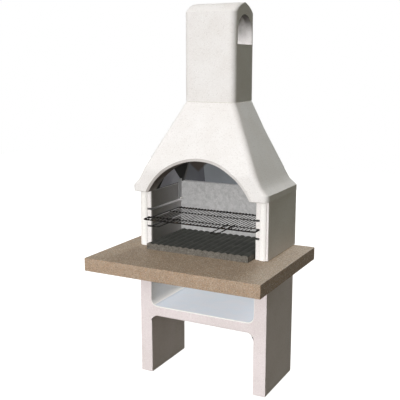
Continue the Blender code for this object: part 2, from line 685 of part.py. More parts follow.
def make_handles(add_to_grill, material):
    """A loop of rod on each side: its ends lie on the front cross bar, its grip is in front."""
    inner, outer = (place * WIRE_PITCH for place in HANDLE_LEG_PLACES)
    middle, half, radius = (inner + outer) / 2, (outer - inner) / 2, HANDLE_CORNER_RADIUS
    height = FRAME_ROD_RADIUS + SEAT_GAP + HANDLE_ROD_RADIUS
    tail = CROSS_BAR_SETBACKS[0] + 2 * CROSS_BAR_RADIUS
    loop = [(-half, tail)]
    loop += arc(radius - half, radius - HANDLE_REACH, radius, 180, 270, CORNER_STEPS)
    loop += arc(half - radius, radius - HANDLE_REACH, radius, 270, 360, CORNER_STEPS)
    loop += [(half, tail)]
    for side, name in ((-1, "left"), (1, "right")):
        curve = rod_curve(f"grill_handle_{name}", [(x, y, 0) for x, y in loop], HANDLE_ROD_RADIUS)
        add_to_grill(f"grill_handle_{name}", curve, material, (side * middle, 0, height))


for leftover in list(bpy.data.objects):
    bpy.data.objects.remove(leftover)
parts = make_collection("masonry_barbecue")
cutters = make_collection("cutters")
white_concrete = make_material("white concrete", "f3edea", 0.9)
base_concrete = make_material("base concrete", "ece2df", 0.9)
stone = make_material("brown worktop stone", "a8927d", 0.75)
mortar = make_material("light mortar", "cfc8c2", 0.95)
refractory = make_material("grey refractory", "aaa9a9", 0.95)
hearth_stone = make_material("dark hearth plate", "3d3d38", 0.95)
liner_steel = make_material("blued liner sheet", "62666c", 0.55, 0.8)
grill_steel = make_material("dark grill rod", "3a3a3a", 0.4, 0.9)
wire_steel = make_material("dark grill wire", "4a4a4a", 0.4, 0.9)
make_base(base_concrete)
make_worktop(stone)
make_mortar_beds(mortar)
make_side_walls(white_concrete)
make_back(white_concrete, refractory)
make_hearth(hearth_stone)
make_hood(white_concrete)
make_chimney_mortar(mortar)
make_chimney(white_concrete)
make_side_sheets(liner_steel)
make_back_sheets(liner_steel)
make_grill(grill_steel, wire_steel)
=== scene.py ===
# Outdoor masonry barbecue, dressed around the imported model: cast concrete with a fine grain,
# a speckled stone worktop, a sooty ribbed hearth, blued sheets in the hood and a welded grill.
import math
import random

import bmesh
import bpy
from mathutils import Matrix, Vector, noise
from mathutils.bvhtree import BVHTree


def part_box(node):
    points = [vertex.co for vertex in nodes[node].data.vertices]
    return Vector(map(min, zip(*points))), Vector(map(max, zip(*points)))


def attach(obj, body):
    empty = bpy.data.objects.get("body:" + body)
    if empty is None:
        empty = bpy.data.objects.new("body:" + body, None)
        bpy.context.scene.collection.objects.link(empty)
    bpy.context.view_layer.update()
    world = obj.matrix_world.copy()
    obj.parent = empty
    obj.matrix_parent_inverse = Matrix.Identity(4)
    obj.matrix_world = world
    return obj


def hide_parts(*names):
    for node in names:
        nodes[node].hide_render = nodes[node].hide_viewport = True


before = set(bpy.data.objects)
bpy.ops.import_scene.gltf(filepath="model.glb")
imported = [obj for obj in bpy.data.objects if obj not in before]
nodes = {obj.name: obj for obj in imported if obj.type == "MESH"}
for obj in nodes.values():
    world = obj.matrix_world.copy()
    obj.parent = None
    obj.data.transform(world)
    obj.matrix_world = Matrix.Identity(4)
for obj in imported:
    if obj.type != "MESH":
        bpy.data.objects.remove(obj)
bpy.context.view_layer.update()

mergeGap = 0.00001  # the frame's loose triangles share corners to this distance
seamGap = 0.0001  # where a rod closes on itself, or two cuts meet
flatAngle = 0.3  # degrees: faces that turn less than this are one flat face
print("frame loaded:", len(nodes), "nodes")


# Colours, scales and node trees

def toLinear(hexColour):
    channels = [int(hexColour[i:i + 2], 16) / 255 for i in (0, 2, 4)]
    linear = [c / 12.92 if c <= 0.04045 else ((c + 0.055) / 1.055) ** 2.4 for c in channels]
    return (*linear, 1.0)


def perMetre(millimetres):  # a pattern's scale from the real size of its features
    return 1000 / millimetres


def addNode(tree, kind, inputs, output=0, **settings):
    # adds a node, sets or links its inputs, and gives back one of its outputs
    node = tree.nodes.new(kind)
    for name, value in settings.items():
        setattr(node, name, value)
    for name, value in inputs.items():
        if isinstance(value, bpy.types.NodeSocket):
            tree.links.new(value, node.inputs[name])
        else:
            node.inputs[name].default_value = value
    return node.outputs[output] if node.outputs else node


def newMaterial(name, sockets):
    material = bpy.data.materials.new(name)
    material.use_nodes = True
    tree = material.node_tree
    shader = tree.nodes["Principled BSDF"]
    for socket, value in sockets.items():
        shader.inputs[socket].default_value = value
    return material, tree, shader, addNode(tree, "ShaderNodeTexCoord", {}, "Object")


def softPatches(tree, place, sizeMm, low, high, detail=3.0, distortion=0.0):
    # noise of one size, stretched so that low..high fills 0..1
    patches = addNode(tree, "ShaderNodeTexNoise", {
        "Vector": place, "Scale": perMetre(sizeMm), "Detail": detail, "Distortion": distortion})
    return addNode(tree, "ShaderNodeMapRange", {
        "Value": patches, "From Min": low, "From Max": high}, interpolation_type="SMOOTHSTEP")


grain = {"radius": 0.55, "core": 0.55}  # in cells, and the core in radii


def strewnGrains(tree, place, sizeMm, share, channel=0, radius=grain["radius"]):
    # one grain in every cell whose random number falls in the share, with a soft rim
    core = radius * grain["core"]
    cells = addNode(tree, "ShaderNodeTexVoronoi", {"Vector": place, "Scale": perMetre(sizeMm)})
    draw = addNode(tree, "ShaderNodeSeparateColor", {"Color": cells.node.outputs["Color"]}, channel)
    chosen = addNode(tree, "ShaderNodeMath", {0: draw, 1: share}, operation="LESS_THAN")
    body = addNode(tree, "ShaderNodeMapRange", {
        "Value": cells, "From Min": radius, "From Max": core}, interpolation_type="SMOOTHSTEP")
    return addNode(tree, "ShaderNodeMath", {0: chosen, 1: body}, operation="MULTIPLY")


def layOver(tree, colour, mask, amount, hexColour):
    # lays another colour over the first, as thick as the mask says and at most the amount
    cover = addNode(tree, "ShaderNodeMath", {0: mask, 1: amount}, operation="MULTIPLY")
    return addNode(tree, "ShaderNodeMix", {0: cover, 6: colour, 7: toLinear(hexColour)}, 2,
                   data_type="RGBA")


# Cast concrete

concrete = {
    "white": {"clean": "f4f2f3", "cloudy": "efecec", "sand": "a39d97", "spark": "ffffff"},
    "pinkish": {"clean": "f0e6e9", "cloudy": "e9dfe1", "sand": "ab9f9b", "spark": "fdf8f7"},
    # painted highlight: near-white tones for the walls' noses and the compartment's edges and
    # corners
    "highlight": {"clean": "ffffff", "cloudy": "fefdfc", "sand": "d2cec9", "spark": "ffffff"},
    "cloudMm": 140, "cloudSpan": (0.35, 0.7),
    "sandMm": 6.5,  # the sand grains are 1 to 2 mm, drawn as coarse as they need to show
    "sandShare": 0.30, "sandAmount": 0.17, "sparkAmount": 0.35,
    "dustMm": 3.0, "dustSpan": (0.4, 0.75), "dustAmount": 0.12,
    "poreMm": 30, "poreShare": 0.35, "poreRadius": 0.075, "poreAmount": 0.4,  # holes of 2 mm
    "grainRelief": 0.4, "relief": {"Strength": 0.6, "Distance": 0.0012},
    # painted light: a bluish tone in soft patches on the compartment's shelf and sides
    "paintedBlueLight": "d8e4f2", "blueLightMm": 70, "blueLightSpan": (0.25, 0.75), "blueLightCover": (0.65, 0.85),
    "surface": {"Roughness": 0.86, "IOR": 1.5},
}


def castConcrete(name, tones):
    # White-cement concrete from a steel mould: chalky, with fine sand showing, a few air holes
    # and faint clouds, so the eye reads a matt mineral face and not paint.
    material, tree, shader, place = newMaterial(name, concrete["surface"])
    clouds = softPatches(tree, place, concrete["cloudMm"], *concrete["cloudSpan"])
    colour = layOver(tree, toLinear(tones["clean"]), clouds, 1.0, tones["cloudy"])
    sand = strewnGrains(tree, place, concrete["sandMm"], concrete["sandShare"])
    colour = layOver(tree, colour, sand, concrete["sandAmount"], tones["sand"])
    spark = strewnGrains(tree, place, concrete["sandMm"], concrete["sandShare"], 1)
    colour = layOver(tree, colour, spark, concrete["sparkAmount"], tones["spark"])
    dust = softPatches(tree, place, concrete["dustMm"], *concrete["dustSpan"])
    colour = layOver(tree, colour, dust, concrete["dustAmount"], tones["sand"])
    hole = strewnGrains(tree, place, concrete["poreMm"], concrete["poreShare"], 2,
                        concrete["poreRadius"])
    colour = layOver(tree, colour, hole, concrete["poreAmount"], tones["sand"])
    tree.links.new(colour, shader.inputs["Base Color"])
    raised = addNode(tree, "ShaderNodeMath", {0: dust, 1: concrete["grainRelief"]},
                     operation="MULTIPLY")
    height = addNode(tree, "ShaderNodeMath", {0: raised, 1: hole}, operation="SUBTRACT")
    bump = addNode(tree, "ShaderNodeBump", {"Height": height, **concrete["relief"]})
    tree.links.new(bump, shader.inputs["Normal"])
    return material, tree, shader, place, colour


def bluishLitConcrete():
    # The compartment's shelf and inner sides: a cooler, bluish tone of painted light over the same
    # concrete.
    material, tree, shader, place, colour = castConcrete(
        "Cement face painted with bluish light", concrete["pinkish"])
    bluePatches = softPatches(tree, place, concrete["blueLightMm"], *concrete["blueLightSpan"])
    thinnest, thickest = concrete["blueLightCover"]
    thick = addNode(tree, "ShaderNodeMapRange", {
        "Value": bluePatches, "To Min": thinnest, "To Max": thickest})
    colour = layOver(tree, colour, thick, 1.0, concrete["paintedBlueLight"])
    tree.links.new(colour, shader.inputs["Base Color"])
    return material


sootAndShadeVeils = {
    # where each veil starts and is fullest along an axis, in metres, and how it looks: soot in the
    #     # chamber, painted shade in the flue, firebox, grooves and rim, both on the arch
    # soot and painted shade: the arch's underside darkens towards its crown, where it faces down
    "arch": {"axis": "Z", "span": (1.03, 1.17), "cover": (0.15, 0.90), "veil": "54473d"},
    "chamber": {"axis": "Y", "span": (0.33, 0.12), "cover": (0.91, 0.985), "veil": "1d1e1a"},
    # painted shadow: the flue's inside darkens towards the barrel top, as under the windows' top
    # edge
    "flue": {"axis": "Z", "span": (1.855, 2.00), "cover": (0.0, 0.93), "veil": "3a342b"},
    # painted shade: the firebox's inner sides and the wall tops under the hood, darker towards the
    # front
    "firebox": {"axis": "Y", "span": (0.32, 0.02), "cover": (0.38, 0.79), "veil": "7c7a75"},
    # painted shade: the grooves in the walls, darkest at their open front ends
    "groove": {"axis": "Y", "span": (0.22, -0.02), "cover": (0.45, 0.99), "veil": "191817"},
    # painted shade: the arch's rim darkens towards the left, as the chamfer's shading does
    "rim": {"axis": "X", "span": (0.30, -0.28), "cover": (0.18, 0.66), "veil": "7d726c"},
    "driftMm": 90, "driftSpan": (0.3, 0.7), "drift": 0.05,
}


def sootAndShadeConcrete(name, veil):
    # The same concrete under a veil that thickens along one axis, in slow drifts, until the
    #     # concrete's own grain is lost under it: soot, painted shade, or both, as the table says.
    material, tree, shader, place, colour = castConcrete(name, concrete["white"])
    along = addNode(tree, "ShaderNodeSeparateXYZ", {"Vector": place}, veil["axis"])
    drift = softPatches(tree, place, sootAndShadeVeils["driftMm"], *sootAndShadeVeils["driftSpan"])
    wavy = addNode(tree, "ShaderNodeMath", {0: drift, 1: sootAndShadeVeils["drift"], 2: along},
                   operation="MULTIPLY_ADD")
    start, full = veil["span"]
    least, most = veil["cover"]
    thick = addNode(tree, "ShaderNodeMapRange", {
        "Value": wavy, "From Min": start, "From Max": full, "To Min": least, "To Max": most})
    tree.links.new(layOver(tree, colour, thick, 1.0, veil["veil"]), shader.inputs["Base Color"])
    return material


whiteConcrete = castConcrete("White cement concrete", concrete["white"])[0]
pinkishConcrete = castConcrete("Pinkish cement concrete", concrete["pinkish"])[0]
# painted highlight on the walls' noses and on the edges and corners of the compartment
highlightConcrete = castConcrete("Cement concrete painted near-white as a highlight", concrete["highlight"])[0]
bluishLitShelf = bluishLitConcrete()
archSootAndShade = sootAndShadeConcrete("Concrete of the arch, smoked and painted with shade", sootAndShadeVeils["arch"])
chamberSmoke = sootAndShadeConcrete("Sooty concrete in the hood", sootAndShadeVeils["chamber"])
flueShade = sootAndShadeConcrete("Concrete of the flue, painted with shade towards the top", sootAndShadeVeils["flue"])
fireboxShade = sootAndShadeConcrete("Concrete of the firebox, painted with shade", sootAndShadeVeils["firebox"])
grooveShade = sootAndShadeConcrete("Concrete of the grooves, painted dark with shade", sootAndShadeVeils["groove"])
rimShade = sootAndShadeConcrete("Concrete of the arch's rim, painted with shade to the left", sootAndShadeVeils["rim"])


# Worktop stone

stone = {
    # painted shade: the darker tones of the short ends
    "front": ("b09985", "a8917d"), "top": ("9a8774", "92806e"), "shadedEnds": ("937a5f", "8a7259"),
    "cloudMm": 60, "cloudSpan": (0.3, 0.7),
    "chipMm": 6,  # marble chips of 3 to 6 mm
    "crumbMm": 3.5, "chipRadius": 0.62,
    "layers": (  # size, random channel, share of the cells, how opaque, colour
        ("chipMm", 0, 0.30, 0.45, "705c45"),
        ("chipMm", 1, 0.26, 0.50, "ddcfbb"),
        ("chipMm", 2, 0.26, 0.50, "bf966f"),
        ("crumbMm", 0, 0.30, 0.42, "68553f"),
        ("crumbMm", 1, 0.30, 0.42, "e2d8c6"),
    ),
    "pitMm": 2.5, "relief": {"Strength": 0.35, "Distance": 0.0006},
    "facing": 0.7,  # how squarely a face looks up or sideways to count as the top or an end
    "surface": {"Roughness": 0.62, "IOR": 1.52},
}


def castStone(name, tones):
    # Brown cast stone with crushed marble: its cut chips show as cream, orange and dark specks,
    # evenly strewn, and the ground face is smoother than the white castings.
    material, tree, shader, place = newMaterial(name, stone["surface"])
    clouds = softPatches(tree, place, stone["cloudMm"], *stone["cloudSpan"])
    colour = layOver(tree, toLinear(tones[0]), clouds, 1.0, tones[1])
    for size, channel, share, amount, tone in stone["layers"]:
        chips = strewnGrains(tree, place, stone[size], share, channel, stone["chipRadius"])
        colour = layOver(tree, colour, chips, amount, tone)
    tree.links.new(colour, shader.inputs["Base Color"])
    pits = addNode(tree, "ShaderNodeTexNoise", {
        "Vector": place, "Scale": perMetre(stone["pitMm"]), "Detail": 2.0})
    bump = addNode(tree, "ShaderNodeBump", {"Height": pits, **stone["relief"]})
    tree.links.new(bump, shader.inputs["Normal"])
    return material


brownStone = castStone("Brown cast stone", stone["front"])
darkerTopStone = castStone("Brown cast stone, darker on the top", stone["top"])
shadedEndStone = castStone("Brown cast stone, painted darker on the ends with shade", stone["shadedEnds"])


# Lining slab, hearth and mortar

refractoryGrainMm = 4  # the same aggregate in the slab, the hearth and the mortar

lining = {
    "pale": "b7b7b8", "grey": "a1a1a2", "scorch": "8c8a88", "fleck": "dcdbda",
    "swirlMm": 24, "swirlSpan": (0.35, 0.68), "swirlDetail": 5.0, "swirlTurn": 0.8,
    "swirlAmount": 0.85,
    "scorchMm": 9, "scorchSpan": (0.5, 0.8), "scorchAmount": 0.4,
    "fleckMm": 4.5, "fleckShare": 0.3, "fleckAmount": 0.3,
    "surface": {"Roughness": 0.9, "IOR": 1.5}, "relief": {"Strength": 0.5, "Distance": 0.001},
}


def refractoryConcrete():
    # Pressed refractory concrete: light grey and finely mottled, with small swirls where the heat
    # and the smoke have worked in, and pale flecks of filler.
    material, tree, shader, place = newMaterial("Pressed refractory concrete", lining["surface"])
    swirls = softPatches(tree, place, lining["swirlMm"], *lining["swirlSpan"],
                         lining["swirlDetail"], lining["swirlTurn"])
    colour = layOver(tree, toLinear(lining["pale"]), swirls, lining["swirlAmount"], lining["grey"])
    scorched = softPatches(tree, place, lining["scorchMm"], *lining["scorchSpan"])
    colour = layOver(tree, colour, scorched, lining["scorchAmount"], lining["scorch"])
    fleck = strewnGrains(tree, place, lining["fleckMm"], lining["fleckShare"])
    colour = layOver(tree, colour, fleck, lining["fleckAmount"], lining["fleck"])
    tree.links.new(colour, shader.inputs["Base Color"])
    fine = addNode(tree, "ShaderNodeTexNoise", {
        "Vector": place, "Scale": perMetre(refractoryGrainMm), "Detail": 3.0})
    bump = addNode(tree, "ShaderNodeBump", {"Height": fine, **lining["relief"]})
    tree.links.new(bump, shader.inputs["Normal"])
    return material


hearth = {
    "stone": "716d66", "stoneDark": "5e5a54", "fleck": "97938b", "pit": "45423d",
    "soot": "383935", "ash": "464742",
    "mottleMm": 12, "mottleSpan": (0.35, 0.65),
    "grainMm": 6, "fleckShare": 0.35, "pitShare": 0.3, "grainAmount": 0.5,
    "raggedMm": 9, "raggedSpan": (0.3, 0.7), "raggedReach": 0.35,
    "sootSpan": (0.25, 0.75),  # how far up a face has to look before soot starts and covers it
    "ashMm": 60, "ashSpan": (0.45, 0.75),
    "surface": {"Roughness": 0.92, "IOR": 1.5}, "relief": {"Strength": 0.7, "Distance": 0.0015},
}


def hearthStone():
    # Dark refractory stone with a grey grain, black with soot wherever it faces up, a little
    # ash in the furrows, and the soot running over the front edge in an uneven line.
    material, tree, shader, place = newMaterial("Ribbed hearth stone", hearth["surface"])
    mottle = softPatches(tree, place, hearth["mottleMm"], *hearth["mottleSpan"])
    colour = layOver(tree, toLinear(hearth["stone"]), mottle, 1.0, hearth["stoneDark"])
    fleck = strewnGrains(tree, place, hearth["grainMm"], hearth["fleckShare"])
    colour = layOver(tree, colour, fleck, hearth["grainAmount"], hearth["fleck"])
    pit = strewnGrains(tree, place, hearth["grainMm"], hearth["pitShare"], 1)
    colour = layOver(tree, colour, pit, hearth["grainAmount"], hearth["pit"])
    facing = addNode(tree, "ShaderNodeNewGeometry", {}, "Normal")
    upward = addNode(tree, "ShaderNodeSeparateXYZ", {"Vector": facing}, "Z")
    ragged = softPatches(tree, place, hearth["raggedMm"], *hearth["raggedSpan"])
    sooted = addNode(tree, "ShaderNodeMath", {0: ragged, 1: hearth["raggedReach"], 2: upward},
                     operation="MULTIPLY_ADD")
    bare, covered = hearth["sootSpan"]
    sooted = addNode(tree, "ShaderNodeMapRange", {
        "Value": sooted, "From Min": bare, "From Max": covered}, interpolation_type="SMOOTHSTEP")
    ash = softPatches(tree, place, hearth["ashMm"], *hearth["ashSpan"])
    black = layOver(tree, toLinear(hearth["soot"]), ash, 1.0, hearth["ash"])
    colour = addNode(tree, "ShaderNodeMix", {0: sooted, 6: colour, 7: black}, 2, data_type="RGBA")
    tree.links.new(colour, shader.inputs["Base Color"])
    fine = addNode(tree, "ShaderNodeTexNoise", {
        "Vector": place, "Scale": perMetre(refractoryGrainMm), "Detail": 3.0})
    bump = addNode(tree, "ShaderNodeBump", {"Height": fine, **hearth["relief"]})
    tree.links.new(bump, shader.inputs["Normal"])
    return material


joint = {
    "grey": ("a39c93", "827b73"), "fresh": ("e9e7e2", "cfccc5"), "sooty": ("423d37", "332f2a"),
    "dab": ("faf9f5", "e9e7e0"),
    "sandSpan": (0.35, 0.65), "surface": {"Roughness": 0.95, "IOR": 1.5},
    "relief": {"Strength": 0.6, "Distance": 0.0008},
}


def jointMortar(name, tones):
    # Refractory mortar pressed into the joints by hand: sandy, and duller than the castings.
    material, tree, shader, place = newMaterial(name, joint["surface"])
    sandy = softPatches(tree, place, refractoryGrainMm, *joint["sandSpan"])
    colour = layOver(tree, toLinear(tones[0]), sandy, 1.0, tones[1])
    tree.links.new(colour, shader.inputs["Base Color"])
    bump = addNode(tree, "ShaderNodeBump", {"Height": sandy, **joint["relief"]})
    tree.links.new(bump, shader.inputs["Normal"])
    return material


paleRefractory = refractoryConcrete()
darkHearth = hearthStone()
mortar = jointMortar("Joint mortar", joint["grey"])
freshMortar = jointMortar("Pale joint mortar", joint["fresh"])
dabMortar = jointMortar("White dab of mortar", joint["dab"])
sootyMortar = jointMortar("Sooty joint mortar", joint["sooty"])


# Metals

sheetSteel = {
    "side": ("dcdde4", "c5c5cf"),
    "strip": ("c0c0c1", "acacaf"),
    # painted shade: the sheets' cut edges, which the key would light as a bright line
    "edge": ("2a2928", "201f1e"),
    # painted shadow: the outer back sheets are a darker copy of the middle sheet's steel
    "backOuterShaded": ("5c5e62", "515258"),
    "backMiddle": ("868c90", "7c8085"),
    "driftMm": 160, "driftSpan": (0.35, 0.65),
    # a brown tongue hangs down to the tip, at this distance from the middle, and widens upwards
    "brownTongue": "413730", "brownTongueAmount": 0.85,
    "brownTongueTip": 1.118, "brownTongueX": 0.204, "brownTongueSlope": 0.85, "brownTongueBlur": 0.020,
    "metallic": 0.35,
    "roughness": 0.5, "wear": 0.18,
    "dentMm": 70, "relief": {"Strength": 0.3, "Distance": 0.004},
}


def bluedSheet(name, tones):
    # Mild steel sheet blued by heat: a dull, bluish oxide skin in slow drifts, with a brown tongue
    #     # that hangs down and widens upwards, and a faint sheen that keeps it from reading as
    #     paint.
    material, tree, shader, place = newMaterial(name, {"Metallic": sheetSteel["metallic"]})
    drift = softPatches(tree, place, sheetSteel["driftMm"], *sheetSteel["driftSpan"])
    colour = layOver(tree, toLinear(tones[0]), drift, 1.0, tones[1])
    across = addNode(tree, "ShaderNodeSeparateXYZ", {"Vector": place}, "X")
    away = addNode(tree, "ShaderNodeMath", {0: across}, operation="ABSOLUTE")
    away = addNode(tree, "ShaderNodeMath", {0: away, 1: sheetSteel["brownTongueX"]}, operation="SUBTRACT")
    away = addNode(tree, "ShaderNodeMath", {0: away}, operation="ABSOLUTE")
    edge = addNode(tree, "ShaderNodeMath", {
        0: away, 1: sheetSteel["brownTongueSlope"], 2: sheetSteel["brownTongueTip"]}, operation="MULTIPLY_ADD")
    above = addNode(tree, "ShaderNodeMath", {0: across.node.outputs["Z"], 1: edge},
                    operation="SUBTRACT")
    brownTongue = addNode(tree, "ShaderNodeMapRange", {
        "Value": above, "From Min": 0.0, "From Max": sheetSteel["brownTongueBlur"]},
        interpolation_type="SMOOTHSTEP")
    colour = layOver(tree, colour, brownTongue, sheetSteel["brownTongueAmount"], sheetSteel["brownTongue"])
    tree.links.new(colour, shader.inputs["Base Color"])
    glossy, dull = sheetSteel["roughness"], sheetSteel["roughness"] + sheetSteel["wear"]
    worn = addNode(tree, "ShaderNodeMapRange", {"Value": drift, "To Min": glossy, "To Max": dull})
    tree.links.new(worn, shader.inputs["Roughness"])
    dents = addNode(tree, "ShaderNodeTexNoise", {
        "Vector": place, "Scale": perMetre(sheetSteel["dentMm"]), "Detail": 1.0})
    bump = addNode(tree, "ShaderNodeBump", {"Height": dents, **sheetSteel["relief"]})
    tree.links.new(bump, shader.inputs["Normal"])
    return material


rodSteel = {
    "rod": ("282625", "181615"),
    "wire": ("4a4744", "2b2826"),
    "straw": "6b5a46", "strawAmount": 0.5,
    "scaleMm": 14, "scaleSpan": (0.4, 0.6),
    "strawMm": 35, "strawSpan": (0.5, 0.75),
    "metallic": 0.8,
    "roughness": 0.42, "wear": 0.25,
    "relief": {"Strength": 0.3, "Distance": 0.0002},
}


def grillSteel(name, tones):
    # Steel wire that has been over the fire: dark scale and baked fat over grey metal, with
    # straw tints between, glossier where the scale has been scraped off.
    material, tree, shader, place = newMaterial(name, {"Metallic": rodSteel["metallic"]})
    scaled = softPatches(tree, place, rodSteel["scaleMm"], *rodSteel["scaleSpan"])
    colour = layOver(tree, toLinear(tones[0]), scaled, 1.0, tones[1])
    straw = softPatches(tree, place, rodSteel["strawMm"], *rodSteel["strawSpan"])
    colour = layOver(tree, colour, straw, rodSteel["strawAmount"], rodSteel["straw"])
    tree.links.new(colour, shader.inputs["Base Color"])
    glossy, dull = rodSteel["roughness"], rodSteel["roughness"] + rodSteel["wear"]
    worn = addNode(tree, "ShaderNodeMapRange", {"Value": scaled, "To Min": glossy, "To Max": dull})
    tree.links.new(worn, shader.inputs["Roughness"])
    bump = addNode(tree, "ShaderNodeBump", {"Height": scaled, **rodSteel["relief"]})
    tree.links.new(bump, shader.inputs["Normal"])
    return material


sideSteel = bluedSheet("Heat-blued steel of the side sheets", sheetSteel["side"])
stripSteel = bluedSheet("Heat-blued steel of the corner strips", sheetSteel["strip"])
shadedEdgeSteel = bluedSheet("Cut edge of the sheets, painted dark with shade", sheetSteel["edge"])
shadedOuterSteel = bluedSheet("Heat-blued steel of the outer back sheets", sheetSteel["backOuterShaded"])
middleSteel = bluedSheet("Heat-blued steel of the middle back sheet", sheetSteel["backMiddle"])
rodMetal = grillSteel("Scaled steel rod", rodSteel["rod"])
wireMetal = grillSteel("Scaled steel wire", rodSteel["wire"])
print("materials made")


# Mesh helpers

def copyOfNode(node):
    # the node's welded mesh, with the triangles of each flat face joined
    bm = bmesh.new()
    bm.from_mesh(nodes[node].data)
    bmesh.ops.remove_doubles(bm, verts=bm.verts, dist=mergeGap)
    bmesh.ops.dissolve_limit(bm, angle_limit=math.radians(flatAngle), verts=bm.verts,
                             edges=bm.edges)
    return bm


def roundEdges(bm, width, segments, leastAngle):
    least = math.radians(leastAngle)
    sharp = [e for e in bm.edges if e.is_manifold and e.calc_face_angle() > least]
    bmesh.ops.bevel(bm, geom=sharp, offset=width, segments=segments, profile=0.5, affect="EDGES",
                    clamp_overlap=True, material=-1)


def cutGrid(bm, spacing):
    # even cuts across the flat faces, so that the casting's unevenness has points to move
    for i in range(3):
        low = min(v.co[i] for v in bm.verts)
        high = max(v.co[i] for v in bm.verts)
        count = int((high - low) / spacing)
        normal = Vector((0, 0, 0))
        normal[i] = 1
        for k in range(1, count + 1):
            bmesh.ops.bisect_plane(bm, geom=bm.verts[:] + bm.edges[:] + bm.faces[:], dist=mergeGap,
                                   plane_co=normal * (low + (high - low) * k / (count + 1)),
                                   plane_no=normal)


seedShift = Vector((7.1, 3.3, 5.7))  # each seed takes its own stretch of the noise


def unevenness(bm, depth, sizeMm, seed):
    # every point sinks a little along its normal, never out of the mould's face
    bm.normal_update()
    shift = seedShift * seed
    moves = []
    for v in bm.verts:
        wave = noise.noise(v.co * perMetre(sizeMm) + shift)
        moves.append((v, v.normal * (-depth * (0.5 + 0.5 * wave))))
    for v, move in moves:
        v.co += move


def finishPiece(name, bm, materials, body, replaced, smoothAngle, weighted=True):
    # the mesh becomes an object of its body, and stands in for the replaced nodes
    mesh = bpy.data.meshes.new(name)
    bm.normal_update()
    for f in bm.faces:
        f.smooth = True
    for e in bm.edges:
        e.smooth = e.is_manifold and e.calc_face_angle() < math.radians(smoothAngle)
    bm.to_mesh(mesh)
    bm.free()
    for material in materials:
        mesh.materials.append(material)
    piece = bpy.data.objects.new(name, mesh)
    bpy.context.scene.collection.objects.link(piece)
    if weighted:
        weigh = piece.modifiers.new("Flat faces stay flat", "WEIGHTED_NORMAL")
        weigh.keep_sharp = True
    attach(piece, body)
    if replaced:
        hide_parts(*replaced)


# Castings

castings = {
    "grid": 0.055,
    "sink": 0.0006, "waveMm": 85,
    "smoothAngle": 30,
    "arris": {"back_wall": 0.0012, "back_lining_slab": 0.002, "hearth_plate": 0.0015},
    "arrisSteps": 2, "arrisAngle": 50,
    "skin": 0.0005, "reach": 0.9,  # a ray starts this far off a face, and looks this far
}


def facesInside(bm):
    # faces that look at another face of the same casting: the smoke chamber and the flue
    tree = BVHTree.FromBMesh(bm)
    inside = set()
    for f in bm.faces:
        start = f.calc_center_median() + f.normal * castings["skin"]
        if tree.ray_cast(start, f.normal, castings["reach"])[0] is not None:
            inside.add(f)
    return inside


def casting(node, name, materials, seed, sort=None, trim=None):
    # trim(mesh) moves points first, and sort(face, inside) gives the material that a face takes
    bm = copyOfNode(node)
    if trim:
        trim(bm)
    if node in castings["arris"]:
        roundEdges(bm, castings["arris"][node], castings["arrisSteps"], castings["arrisAngle"])
    if sort:
        inside = facesInside(bm)
        for f in bm.faces:
            f.material_index = materials.index(sort(f, f in inside))
    cutGrid(bm, castings["grid"])
    unevenness(bm, castings["sink"], castings["waveMm"], seed)
    finishPiece(name, bm, materials, "masonry", [node], castings["smoothAngle"])


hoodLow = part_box("hood")[0]
arch = {
    "radius": 0.3338, "centreDrop": 0.1498, "rim": 0.0145, "slack": 0.0015, "across": 0.3,
    "frontY": -0.072, "creaseHeight": 0.133, "frontSlope": 0.3906, "bulge": 0.0075,
    "flueY": 0.19, "flueward": 0.005,
}
archCentre = hoodLow.z - arch["centreDrop"]
rimRadius = arch["radius"] + arch["rim"]
rimBack = arch["flueY"] / 2  # the rim lies in front of here, and the liner behind


def trimRim(bm):
    # the rim's cut runs wide where the hood's front creases: its points go back on their circle
    crease = hoodLow.z + arch["creaseHeight"]
    for v in bm.verts:
        reach = math.hypot(v.co.x, v.co.z - archCentre)
        wide = rimRadius + seamGap < reach < rimRadius + arch["bulge"]
        if wide and v.co.y < rimBack and v.co.z > crease - arch["bulge"]:
            x = v.co.x * rimRadius / reach
            z = archCentre + (v.co.z - archCentre) * rimRadius / reach
            v.co = (x, arch["frontY"] + max(0.0, z - crease) * arch["frontSlope"], z)


def hoodSort(f, inside):
    # the arch's underside, its rim, the smoke chamber, and the white outside
    middle = f.calc_center_median()
    reach = max(math.hypot(v.co.x, v.co.z - archCentre) for v in f.verts)
    if reach < arch["radius"] + arch["slack"] and abs(f.normal.y) < arch["across"]:
        return archSootAndShade
    if reach < rimRadius + arch["slack"] and middle.y < rimBack:
        return rimShade
    flueward = -middle.x * f.normal.x + (arch["flueY"] - middle.y) * f.normal.y
    return chamberSmoke if inside or flueward > arch["flueward"] else whiteConcrete


wallLow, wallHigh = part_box("right_side_wall")
wall = {
    "grooveLevels": (0.862, 0.910, 0.958), "grooveHalf": 0.0062, "grooveSkin": 0.0006,
    "outerSkin": 0.02, "noseDepth": 0.0105, "noseFacing": 0.3,
    "topBand": 0.02, "topFacing": 0.5, "innerDepth": 0.012, "innerFacing": 0.5,
}


def wallSort(f, inside):
    # grooves painted dark with shade, a nose painted near-white as a highlight, painted shade on
    # the top and on the firebox's side
    middle = f.calc_center_median()
    depth = abs(middle.x) - wallLow.x
    if any(abs(middle.z - level) < wall["grooveHalf"] for level in wall["grooveLevels"]):
        if inside and depth > wall["grooveSkin"] and abs(middle.x) < wallHigh.x - wall["outerSkin"]:
            return grooveShade
    if f.normal.y < -wall["noseFacing"] and middle.y < wallLow.y + wall["noseDepth"]:
        return highlightConcrete
    if f.normal.z > wall["topFacing"] and middle.z > wallHigh.z - wall["topBand"]:
        return fireboxShade
    facing = f.normal.x * (1 if middle.x < 0 else -1)
    smoked = depth < wall["innerDepth"] and facing > wall["innerFacing"]
    return fireboxShade if smoked else whiteConcrete


def flueSort(f, inside):
    return flueShade if inside else whiteConcrete


